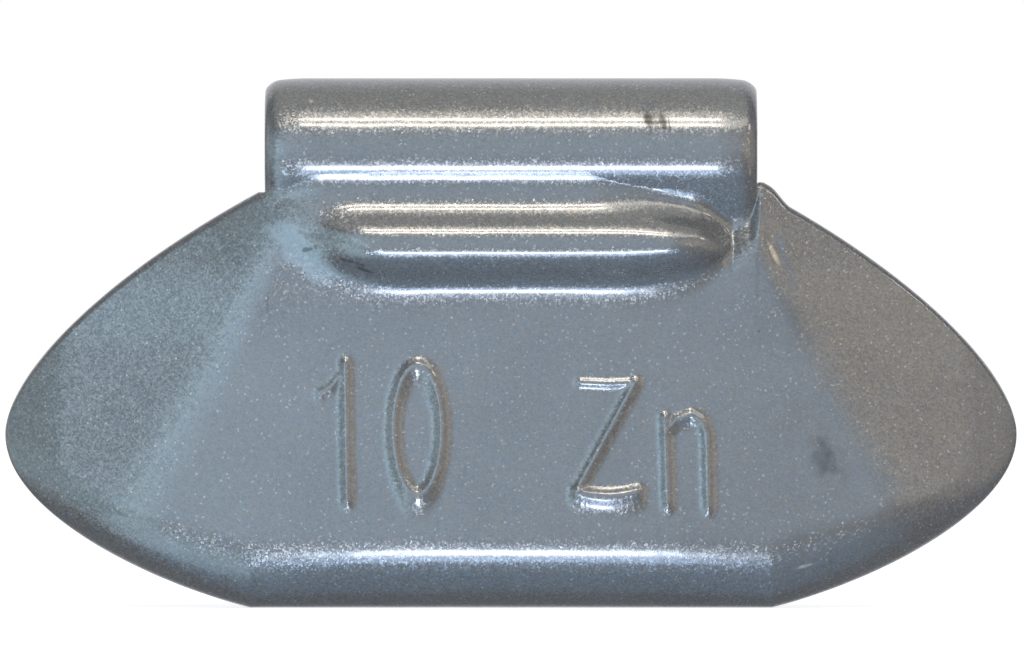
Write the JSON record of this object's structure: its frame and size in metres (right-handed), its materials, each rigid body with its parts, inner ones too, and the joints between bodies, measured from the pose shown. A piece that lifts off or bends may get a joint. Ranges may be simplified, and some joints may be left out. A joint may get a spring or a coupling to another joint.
{
  "type": "wheel balance weight",
  "caption": "Flat cast balance weight with pointed ends and a spring clip that hooks over the lip of a wheel rim.",
  "frame": {"origin": "centre of the rim lip that the clip grips, at the middle of the clip's width", "axes": "+X along the rim and the length of the weight, -Y out of the visible front face, away from the tyre, +Z away from the centre of the wheel"},
  "size_m": [0.033, 0.0113, 0.0172],
  "materials": {
    "cast_zinc": "grey metallic paint with fine flakes, satin to glossy, over a zinc die casting",
    "clip_steel": "the same grey metallic paint over spring steel strip"
  },
  "bodies": {
    "root": {"cast_body": "cast_zinc", "spring_clip": "clip_steel"}
  },
  "joints": []
}
